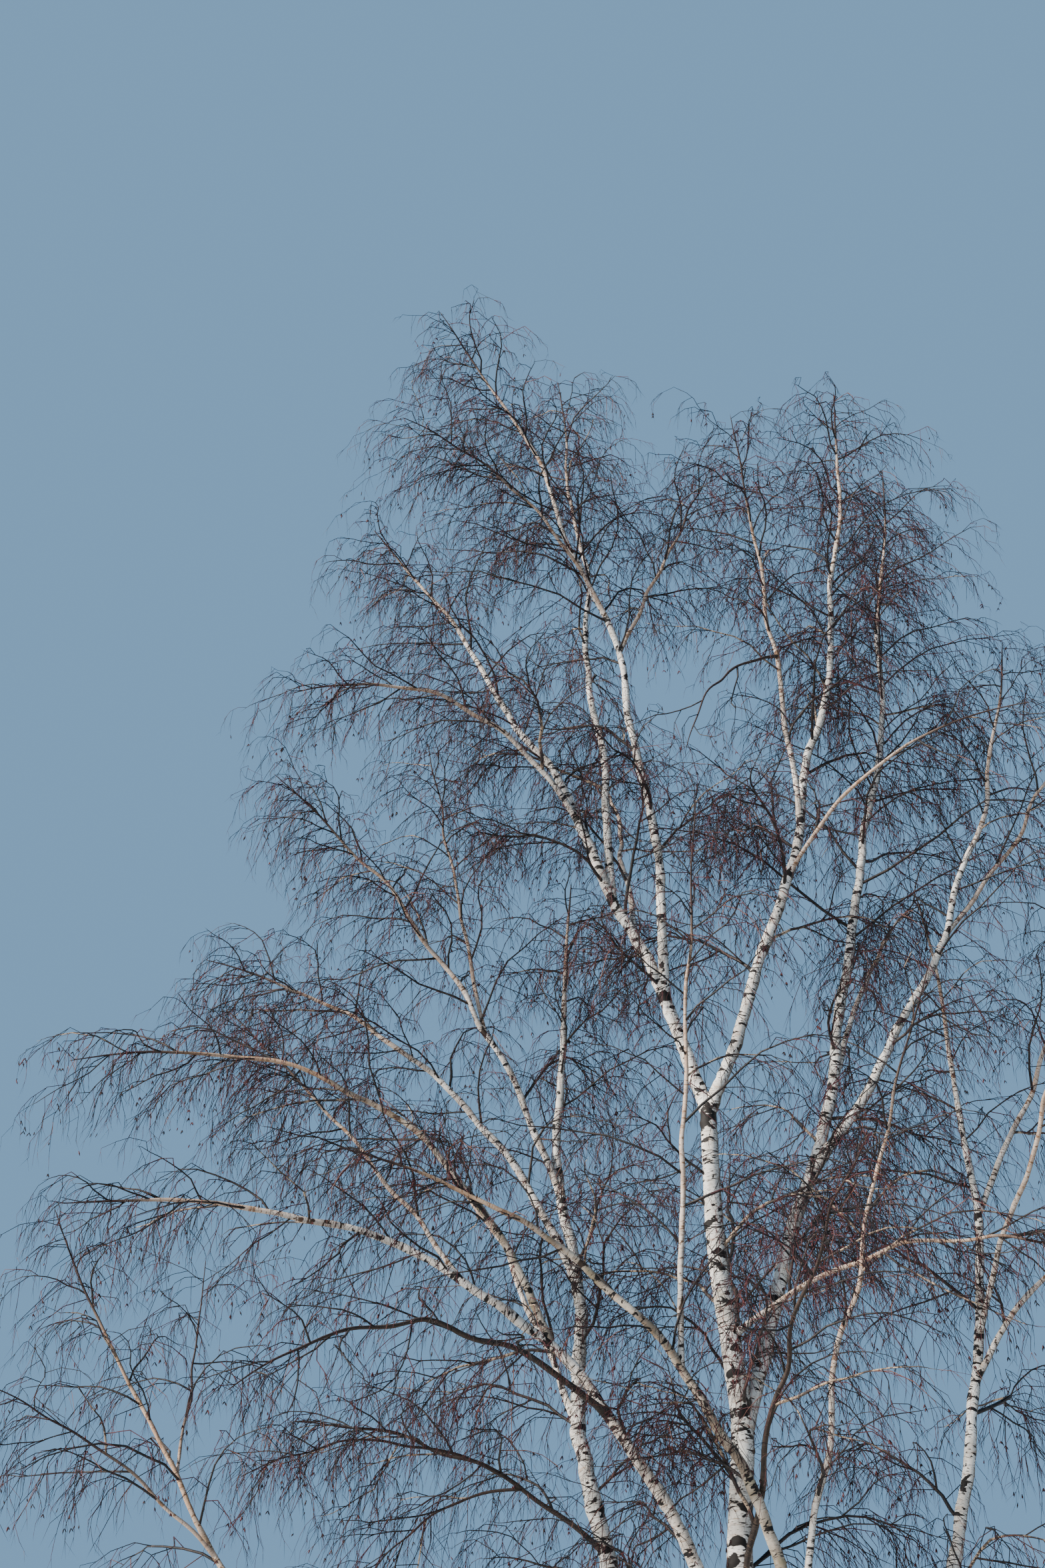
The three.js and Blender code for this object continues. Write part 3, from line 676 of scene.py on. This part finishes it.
def bark_piece(limb, radius_of, sides, step, seed, relief, material):
    """The whole of one limb, with its bark's relief, closed at both ends."""
    line = lines[limb]
    rings = int(length_of(line) / step)
    shares = np.linspace(0, 1, rings + 1)
    centres = along(line, shares)
    run = shares * length_of(line)
    tangents = unit(np.gradient(centres, axis=0))
    if limb == "trunk":
        tangents[0] = (0, 0, 1)
    side = np.array([0.0, 1.0, 0.0]) if abs(tangents[0][1]) < 0.9 else np.array([1.0, 0.0, 0.0])
    frames = []
    for tangent in tangents:
        side = unit(side - tangent * (side @ tangent))
        frames.append((side, np.cross(tangent, side)))
    sides_at, others_at = (np.array(part) for part in zip(*frames))
    angle = 2 * math.pi * np.arange(sides)[None] / sides
    plain = radius_of(shares[:, None], angle)
    radius = plain + relief(angle, run[:, None], plain, seed)
    around = sides_at[:, None] * np.cos(angle)[..., None] + others_at[:, None] * np.sin(angle)[..., None]
    surface = (centres[:, None] + around * radius[..., None]).reshape(-1, 3)
    knots = depth_in(surface, knots_on(limb), KNOT_FLATNESS)
    scars = np.maximum(knots, depth_in(surface, scars_on(limb), SCAR_FLATNESS))[:-sides + 1]
    radius = radius * (1 + KNOT_SWELLING * knots.reshape(radius.shape))
    points = (centres[:, None] + around * radius[..., None])[:-1].reshape(-1, 3)
    points = np.vstack([points, centres[-1:]])
    quads, triangles = ring_faces(rings, sides)
    piece = mesh_piece(limb + "_bark", points, quads, triangles, [material])

    flat = np.broadcast_to(plain[:-1], (rings, sides))
    lengthways = run + PATTERN_SHIFT * seed
    upright = np.repeat(lengthways[:-1, None], sides, 1)
    place = np.stack([flat * np.cos(angle), flat * np.sin(angle), upright], -1)
    place = np.vstack([place.reshape(-1, 3), [0, 0, lengthways[-1]]])
    girth = np.append(flat.ravel(), plain[-1, 0])
    state = np.column_stack([girth, scars, np.clip(1 - points[:, 2] / OLD_BARK_HEIGHT, 0, 1)])
    for attribute, values in (("bark_place", place), ("bark_state", state)):
        made = piece.data.attributes.new(attribute, "FLOAT_VECTOR", "POINT")
        made.data.foreach_set("vector", values.astype(np.float32).ravel())
    # Painted shade: each point's share of it, by how far its side faces away from the sun and down
    painted_shade = np.append(painted_shade_amount(around[:-1]), 0.0)
    made = piece.data.attributes.new("bark_painted_shade", "FLOAT", "POINT")
    made.data.foreach_set("value", painted_shade.astype(np.float32))
    return piece


def painted_shade_amount(around):
    """How far each point of a limb's skin faces away from the sun and down, from -1 to 1, which sets its
    painted shade.
    """
    return (around @ np.array(PAINTED_SHADE_SIDE)).reshape(-1)


def trunk_relief(angle, run, radius, seed):
    """Lumps, thin cross ridges, and at the foot the deep upright fissures of old bark."""
    foot = np.clip(1.25 - run / 1.5, 0, 1)  # whole up to 0.375, none from 1.875
    fissures = np.abs(waves(angle + 0.12 * waves(angle, run, seed + 3, 3, 1.2), run, seed, 15, 1.6))
    fissures = np.minimum(fissures, 0.8) - 0.5
    return (
        TRUNK_LUMPS * radius * waves(angle, run, seed + 1, 3, 1.3)
        + TRUNK_RIDGES * waves(angle, run, seed + 2, 5, 16.0)
        + FISSURES * foot * fissures
    )


def bough_relief(angle, run, radius, seed):
    """Lumps that follow the limb's thickness, and thin cross ridges."""
    lumps = BOUGH_LUMPS * radius * waves(angle, run, seed + 1, 2, 2.6)
    ridges = BOUGH_RIDGES * radius * waves(angle, run, seed + 2, 3, 9.0)
    return lumps + ridges


# Materials
def node(tree, kind, inputs=(), **settings):
    """A shader node. An input may be a value or another node's output."""
    made = tree.nodes.new(kind)
    for key, value in settings.items():
        setattr(made, key, value)
    for key, value in dict(inputs).items():
        if isinstance(value, bpy.types.NodeSocket):
            tree.links.new(value, made.inputs[key])
        else:
            made.inputs[key].default_value = value
    return made


def colour(red, green, blue):
    return (red, green, blue, 1.0)


def blended(tree, share, under, over):
    """A colour that goes from under to over as share goes from 0 to 1."""
    return node(tree, "ShaderNodeMix", {0: share, 6: under, 7: over}, data_type="RGBA").outputs[2]


def ramped(tree, value, low, high, low_out=0.0, high_out=1.0):
    """value taken smoothly from low_out, at low, to high_out, at high."""
    return node(
        tree, "ShaderNodeMapRange",
        {"Value": value, "From Min": low, "From Max": high, "To Min": low_out, "To Max": high_out},
        interpolation_type="SMOOTHSTEP",
    ).outputs["Result"]


def arithmetic(tree, operation, first, second):
    return node(tree, "ShaderNodeMath", {0: first, 1: second}, operation=operation).outputs[0]


def noise(tree, place, scale, detail=3.0, distortion=0.0):
    """Noise stretched by scale, which is features per metre round the limb, across it and along it."""
    stretched = node(tree, "ShaderNodeMapping", {"Vector": place, "Scale": scale})
    return node(
        tree, "ShaderNodeTexNoise",
        {"Vector": stretched.outputs[0], "Scale": 1.0, "Detail": detail, "Distortion": distortion},
    ).outputs["Fac"]


def new_material(name, roughness):
    material = bpy.data.materials.new(name)
    material.use_nodes = True
    shader = material.node_tree.nodes["Principled BSDF"]
    shader.inputs["Roughness"].default_value = roughness
    return material, material.node_tree, shader


def finish_with(tree, shader, base, height, strength, depth):
    """Links a base colour and a bump."""
    tree.links.new(base, shader.inputs["Base Color"])
    bump = node(tree, "ShaderNodeBump", {"Height": height, "Strength": strength, "Distance": depth})
    tree.links.new(bump.outputs["Normal"], shader.inputs["Normal"])


def pale_skin(tree, place, mottle, speckle, pale, shaded, mossy, peeling):
    """Mottled pale bark with peeling bands, specks and moss."""
    base = blended(tree, ramped(tree, mottle, 0.38, 0.62), shaded, pale)
    bands = noise(tree, place, (7, 7, 28), 3.0, 0.4)
    base = blended(tree, ramped(tree, bands, 0.56, 0.72, 0.0, 0.65), base, colour(*peeling))
    base = blended(tree, ramped(tree, speckle, 0.6, 0.74, 0.0, 0.55), base, colour(*SPECKS))
    moss = noise(tree, place, (6, 6, 4), 5.0)
    moss = ramped(tree, moss, 0.62 - 0.2 * mossy, 0.75 - 0.1 * mossy, 0.0, 0.3 + 0.5 * mossy)
    return blended(tree, moss, base, colour(*MOSS))


def black_marks(tree, place, ragged, scar):
    """Black patches and bands, both larger at scars, and the brown fringe round the bands."""
    patch = noise(tree, place, (5.5, 5.5, 7.5), 3.0, 0.6)
    patch = arithmetic(tree, "ADD", patch, arithmetic(tree, "MULTIPLY", ragged, 0.14))
    patch = arithmetic(tree, "ADD", patch, arithmetic(tree, "MULTIPLY", scar, 0.4))
    bands = noise(tree, place, (7, 7, 22), 3.0, 0.5)
    bands = arithmetic(tree, "ADD", bands, arithmetic(tree, "MULTIPLY", scar, 0.12))
    black = arithmetic(tree, "MAXIMUM", ramped(tree, patch, 0.68, 0.715), ramped(tree, bands, 0.595, 0.62))
    return black, ramped(tree, bands, 0.56, 0.6, 0.0, 0.5)


def old_plates(tree, place, ragged):
    """The dark plates of old bark, and how far each point is from the cracks between them."""
    cells = node(tree, "ShaderNodeMapping", {"Vector": place, "Scale": (24, 24, 6.5)}).outputs[0]
    wobble = node(tree, "ShaderNodeTexNoise", {"Vector": cells, "Scale": 1.3, "Detail": 4.0}).outputs["Color"]
    bent = node(
        tree, "ShaderNodeVectorMath", {0: wobble, 1: (1.6, 1.6, 1.6), 2: cells}, operation="MULTIPLY_ADD",
    ).outputs[0]
    distance = node(
        tree, "ShaderNodeTexVoronoi", {"Vector": bent, "Scale": 1.0}, feature="DISTANCE_TO_EDGE",
    ).outputs["Distance"]
    inward = ramped(tree, distance, 0.02, 0.14)
    plate = blended(tree, ramped(tree, ragged, 0.35, 0.65), colour(*DARK_PLATES), colour(*PALE_PLATES))
    return blended(tree, inward, colour(*CRACKS), plate), inward


def bark_material(name, pale, shaded, mossy, peeling=PEELING, thin_end=THIN_END):
    """Papery bark with dark dashes round the limb, black patches, a fissured foot, browner thin ends and
    painted shade on the side away from the sun.
    """
    material, tree, shader = new_material(name, 0.72)
    shader.inputs["Specular IOR Level"].default_value = 0.25
    place = node(tree, "ShaderNodeAttribute", attribute_name="bark_place").outputs["Vector"]
    state = node(tree, "ShaderNodeAttribute", attribute_name="bark_state").outputs["Vector"]
    girth, scar, foot = node(tree, "ShaderNodeSeparateXYZ", {"Vector": state}).outputs
    mottle = noise(tree, place, (5, 5, 3), 4.0)
    speckle = noise(tree, place, (70, 70, 90), 2.0)
    ragged = noise(tree, place, (30, 30, 60), 4.0)

    base = pale_skin(tree, place, mottle, speckle, pale, shaded, mossy, peeling)
    dashes = ramped(tree, noise(tree, place, (13, 13, 120), 2.0), 0.6, 0.68)
    base = blended(tree, dashes, base, colour(*DASHES))
    black, fringe = black_marks(tree, place, ragged, scar)
    base = blended(tree, fringe, base, colour(*FRINGE))
    base = blended(tree, black, base, colour(*BLACK))
    # Painted shade: darker on the side that faces away from the sun and down, with ragged edges
    painted_shade = node(tree, "ShaderNodeAttribute", attribute_name="bark_painted_shade").outputs["Fac"]
    painted_shade = arithmetic(tree, "ADD", painted_shade, arithmetic(tree, "MULTIPLY", ragged, 1.1))
    base = blended(tree, ramped(tree, painted_shade, 0.75, 1.4, 0.0, 0.85), base, colour(*PAINTED_SHADE))

    plates, inward = old_plates(tree, place, ragged)
    old = arithmetic(tree, "ADD", foot, arithmetic(tree, "MULTIPLY", mottle, 0.9))
    old = ramped(tree, old, 0.85, 1.0)
    base = blended(tree, old, base, plates)
    tan = blended(tree, 0.6, base, colour(*thin_end))
    base = blended(tree, ramped(tree, girth, 0.036, 0.022), base, tan)
    base = blended(tree, ramped(tree, girth, 0.019, 0.0125), base, colour(*THINNEST_END))

    low = arithmetic(tree, "MAXIMUM", dashes, black)
    height = arithmetic(tree, "SUBTRACT", arithmetic(tree, "MULTIPLY", speckle, 0.5), low)
    height = arithmetic(tree, "ADD", height, arithmetic(tree, "MULTIPLY", inward, old))
    finish_with(tree, shader, base, height, 0.5, 0.004)
    return material


def twig_material(name, base, variation):
    """The satin bark of young wood, with fine bumps along it."""
    material, tree, shader = new_material(name, 0.6)
    shader.inputs["Specular IOR Level"].default_value = 0.25
    place = node(tree, "ShaderNodeTexCoord").outputs["Object"]
    grain = noise(tree, place, (60, 60, 60), 2.0)
    darker = colour(*(part * (1 - variation) for part in base))
    lighter = colour(*(part * (1 + variation) for part in base))
    finish_with(tree, shader, blended(tree, grain, darker, lighter), grain, 0.2, 0.001)
    return material


def branch_material(name, pale, dark):
    """The bark of a branch, pale in places and dark in others, with short dark marks."""
    material, tree, shader = new_material(name, 0.7)
    place = node(tree, "ShaderNodeTexCoord").outputs["Object"]
    patches = noise(tree, place, (5, 5, 5), 4.0)
    marks = noise(tree, place, (45, 45, 45), 2.0)
    base = blended(tree, ramped(tree, patches, 0.47, 0.56), colour(*dark), colour(*pale))
    base = blended(tree, ramped(tree, marks, 0.52, 0.6), base, colour(*dark))
    finish_with(tree, shader, base, marks, 0.4, 0.003)
    return material


white_bark = bark_material("white_bark", colour(0.88, 0.85, 0.79), colour(0.62, 0.58, 0.52), 0.0)
bough_bark = bark_material("bough_bark", colour(0.82, 0.77, 0.7), colour(0.52, 0.46, 0.4), 0.12)
mossy_bark = bark_material("mossy_bark", colour(0.6, 0.52, 0.42), colour(0.28, 0.22, 0.165), 0.6)
dark_bark = bark_material(
    "dark_bark", colour(0.055, 0.042, 0.035), colour(0.018, 0.014, 0.012), 0.0,
    peeling=(0.09, 0.06, 0.045), thin_end=(0.04, 0.026, 0.021),
)
twig_finishes = [
    twig_material("twig_dark", (0.0075, 0.0038, 0.0042), 0.35),
    twig_material("twig_red", (0.058, 0.013, 0.016), 0.35),
    twig_material("twig_tan", (0.13, 0.055, 0.042), 0.35),
]
branch_finishes = [
    branch_material("branch_dark", (0.035, 0.022, 0.017), (0.008, 0.005, 0.0045)),
    branch_material("branch_tan", (0.4, 0.29, 0.2), (0.03, 0.019, 0.015)),
]
catkin_finishes = [
    twig_material("catkin_brown", (0.018, 0.008, 0.008), 0.5),
    twig_material("catkin_red", (0.07, 0.014, 0.014), 0.5),
]

# Trunk and limbs
TRUNK_LENGTH = length_of(lines["trunk"])


def trunk_rings(share, angle):
    closing = np.clip((1 - share) * TRUNK_LENGTH / TRUNK_CROWN, 0, 1)
    return trunk_radius(share * TRUNK_LENGTH, angle) * np.sqrt(closing * (2 - closing))


trunk = bark_piece("trunk", trunk_rings, TRUNK_SIDES, TRUNK_STEP, TRUNK_SEED, trunk_relief, white_bark)
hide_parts("trunk")


def limb_rings(name):
    """The radius of a limb, with the collar where it leaves its parent and a closed end."""
    parent, share = limbs[name][:2]
    length = length_of(lines[name])
    foot = limbs[name][4]
    inside = float(radius_on(parent, share))
    most_collar = min(COLLAR, max(0.0, MOST_OF_PARENT * inside / foot - 1))

    def radius_of(shares, angle):
        run = shares * length
        collar = most_collar * np.exp(-np.maximum(0, run - inside) / (COLLAR_REACH * foot))
        return limb_radius(name, shares) * (1 + collar) + 0 * angle

    return radius_of


def bark_of(name):
    if name in (*STEMS, *LEADERS):
        return white_bark
    if name in MOSSY:
        return mossy_bark
    return dark_bark if name in DARK else bough_bark


for number, name in enumerate(names, start=1):
    foot_radius = limbs[name][4]
    sides, step = next(mesh[1:] for mesh in LIMB_MESHES if foot_radius > mesh[0])
    limb = bark_piece(name, limb_rings(name), sides, step, 10 * number, bough_relief, bark_of(name))
    if name in FORKS:
        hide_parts(FORKS[name][0] + "_twigs")
    elif name in owner_of:
        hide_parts(name, name + "_twigs")
    else:
        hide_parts(name)

# Branches, twigs and catkins of each side of the crown, each kind apart. Each shoot draws a number from 0
# to 1, and its finish is the first one whose limit is above the number, or else the last.
for side, members in CROWN_SIDES.items():
    owners = [owner_of[name] for name in members]
    kinds = (
        ("side_boughs", side_boughs, BRANCH_SIDES + 2, branch_finishes, (0.75,)),
        ("branches", branches, BRANCH_SIDES, branch_finishes, (0.88,)),
        ("twigs", twigs, TWIG_SIDES, twig_finishes, (0.7, 0.94)),
        ("fine_twigs", fine_twigs, TWIG_SIDES, twig_finishes, (0.5, 0.94)),
        ("sprigs", sprigs, TWIG_SIDES, twig_finishes, (0.5, 0.94)),
        ("catkins", catkins, CATKIN_SIDES, catkin_finishes, (0.6,)),
    )
    for kind, shoots, sides, finishes, limits in kinds:
        own = kept(shoots, np.isin(shoots["owner"], owners))
        finish = np.searchsorted(limits, draw(own["seeds"], 9))
        piece = shoot_piece(f"{side}_{kind}", own, sides, finishes, finish)
        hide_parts(*(name + "_twigs" for name in members))


# Stage: a plain pale floor, a plain sky and one soft light from the left
def floor():
    near = np.arange(FLOOR_SIDES)
    rim = 2 * math.pi * near / FLOOR_SIDES
    height = np.full(FLOOR_SIDES, FLOOR_HEIGHT)
    points = np.column_stack([FLOOR_RADIUS * np.cos(rim), FLOOR_RADIUS * np.sin(rim), height])
    points = np.vstack([points, [0, 0, FLOOR_HEIGHT]])
    fan = np.column_stack([near, (near + 1) % FLOOR_SIDES, np.full(FLOOR_SIDES, FLOOR_SIDES)])
    mesh = bpy.data.meshes.new("floor")
    mesh.from_pydata(points.tolist(), [], fan.tolist())
    made = bpy.data.objects.new("floor", mesh)
    bpy.context.scene.collection.objects.link(made)
    material, tree, shader = new_material("floor", 0.9)
    place = node(tree, "ShaderNodeTexCoord").outputs["Object"]
    grain = noise(tree, place, (0.8, 0.8, 0.8), 3.0)
    base = blended(tree, grain, colour(0.5, 0.5, 0.48), colour(0.56, 0.56, 0.54))
    finish_with(tree, shader, base, grain, 0.1, 0.01)
    mesh.materials.append(material)


floor()
scene = bpy.context.scene
world = bpy.data.worlds.new("sky")
world.use_nodes = True
world.node_tree.nodes["Background"].inputs["Color"].default_value = colour(*SKY_COLOUR)
world.node_tree.nodes["Background"].inputs["Strength"].default_value = 1.0
scene.world = world
sun = bpy.data.objects.new("sun", bpy.data.lights.new("sun", "SUN"))
sun.data.energy = SUN_ENERGY
sun.data.angle = math.radians(SUN_WIDTH)
sun.data.color = SUN_COLOUR
sun.rotation_euler = Vector(SUN_DIRECTION).to_track_quat("-Z", "Y").to_euler()
scene.collection.objects.link(sun)

camera = bpy.data.objects.new("camera", bpy.data.cameras.new("camera"))
camera.data.lens = CAMERA_LENS
camera.data.sensor_width = CAMERA_SENSOR
camera.data.clip_end = CAMERA_REACH
camera.location = CAMERA_PLACE
camera.rotation_euler = (math.radians(90 + CAMERA_TILT), 0, 0)
scene.collection.objects.link(camera)
scene.camera = camera
